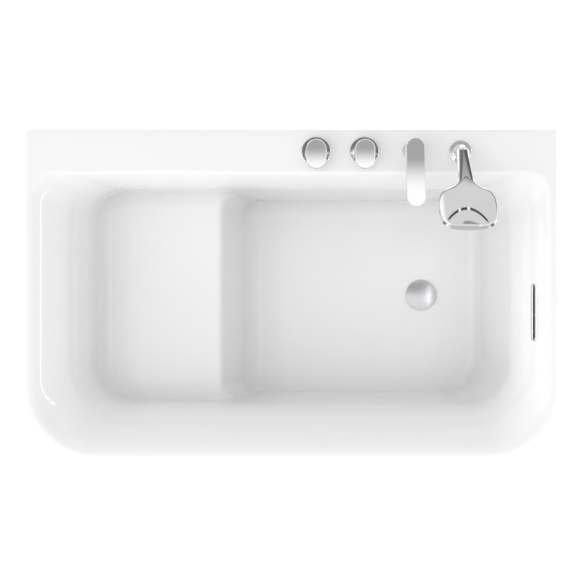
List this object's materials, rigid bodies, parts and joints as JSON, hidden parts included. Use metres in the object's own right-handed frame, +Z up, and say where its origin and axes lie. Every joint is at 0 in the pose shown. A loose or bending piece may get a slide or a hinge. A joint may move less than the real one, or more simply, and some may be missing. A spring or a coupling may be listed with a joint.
{
  "type": "freestanding bathtub",
  "caption": "Freestanding acrylic bathtub with a moulded seat, a rear tap deck with knobs, spout and hand shower, an overflow slot and a domed plug.",
  "frame": {"origin": "on the floor under the centre of the tub's rectangular outline", "axes": "+X to the drain end, +Y to the tap deck at the back, +Z up"},
  "size_m": [1.2, 0.74, 0.7595],
  "materials": {
    "acrylic": "gloss white sanitary acrylic",
    "chrome": "bright chrome plate",
    "zinc_steel": "zinc plated",
    "plywood": "raw plywood",
    "rubber": "black rubber",
    "black_plastic": "moulded black plastic",
    "pipe_plastic": "white-grey moulded pipe",
    "brass": "machined brass",
    "spray_face": "grey spray face with soft nozzles"
  },
  "bodies": {
    "tub": {"basin": "acrylic", "skirt": "acrylic", "drain_flange": "chrome", "overflow_trim": "chrome", "mixer_base": "chrome", "diverter_base": "chrome", "spout_base": "chrome", "shower_holder": "chrome", "rail_front": "zinc_steel", "rail_back": "zinc_steel", "cross_1": "zinc_steel", "cross_2": "zinc_steel", "cross_3": "zinc_steel", "cross_4": "zinc_steel", "cross_5": "zinc_steel", "seat_post_1": "zinc_steel", "seat_post_2": "zinc_steel", "seat_post_3": "zinc_steel", "seat_post_4": "zinc_steel", "skirt_bracket_left": "zinc_steel", "skirt_bracket_right": "zinc_steel", "foot_nuts": "zinc_steel", "floor_board": "plywood", "seat_board": "plywood", "deck_board": "plywood", "drain_gasket": "rubber", "drain_body": "pipe_plastic", "drain_cartridge": "pipe_plastic", "waste_pipe": "pipe_plastic", "waste_tee": "pipe_plastic", "waste_outlet": "pipe_plastic", "overflow_pipe": "pipe_plastic", "overflow_box": "pipe_plastic", "mixer_valve": "brass", "diverter_valve": "brass", "spout_shank": "brass", "deck_nuts": "brass", "link_pipe_1": "brass", "link_pipe_2": "brass"},
    "mixer_handle": {"mixer_knob": "chrome", "mixer_spindle": "brass"},
    "diverter_handle": {"diverter_knob": "chrome", "diverter_spindle": "brass"},
    "spout_arm": {"spout": "chrome", "aerator": "black_plastic"},
    "drain_plug": {"plug_cap": "chrome", "plug_seal": "rubber", "plug_stem": "zinc_steel"},
    "handset": {"hand_shower": "chrome", "hose_nut": "chrome", "spray_plate": "spray_face"},
    "foot_front_left": {"foot_pad_front_left": "black_plastic", "foot_stud_front_left": "zinc_steel"},
    "foot_front_right": {"foot_pad_front_right": "black_plastic", "foot_stud_front_right": "zinc_steel"},
    "foot_back_left": {"foot_pad_back_left": "black_plastic", "foot_stud_back_left": "zinc_steel"},
    "foot_back_right": {"foot_pad_back_right": "black_plastic", "foot_stud_back_right": "zinc_steel"}
  },
  "joints": [
    {"name": "mixer_turn", "type": "hinge", "parent": "tub", "child": "mixer_handle", "pos_m": [0.056, 0.319, 0.6], "axis": [0, 0, 1], "range_deg": [0, 110]},
    {"name": "diverter_turn", "type": "hinge", "parent": "tub", "child": "diverter_handle", "pos_m": [0.1646, 0.319, 0.6], "axis": [0, 0, 1], "range_deg": [0, 90]},
    {"name": "spout_swivel", "type": "hinge", "parent": "tub", "child": "spout_arm", "pos_m": [0.2732, 0.319, 0.6], "axis": [0, 0, 1], "range_deg": [-35, 8]},
    {"name": "plug_lift", "type": "slide", "parent": "tub", "child": "drain_plug", "axis": [0, 0, 1], "range_m": [0, 0.008]},
    {"name": "handset_lift", "type": "slide", "parent": "tub", "child": "handset", "axis": [0, -0.829, 0.5592], "range_m": [0, 0.2]},
    {"name": "level_front_left", "type": "slide", "parent": "tub", "child": "foot_front_left", "axis": [0, 0, 1], "range_m": [-0.008, 0.009]},
    {"name": "level_front_right", "type": "slide", "parent": "tub", "child": "foot_front_right", "axis": [0, 0, 1], "range_m": [-0.008, 0.009]},
    {"name": "level_back_left", "type": "slide", "parent": "tub", "child": "foot_back_left", "axis": [0, 0, 1], "range_m": [-0.008, 0.009]},
    {"name": "level_back_right", "type": "slide", "parent": "tub", "child": "foot_back_right", "axis": [0, 0, 1], "range_m": [-0.008, 0.009]}
  ]
}
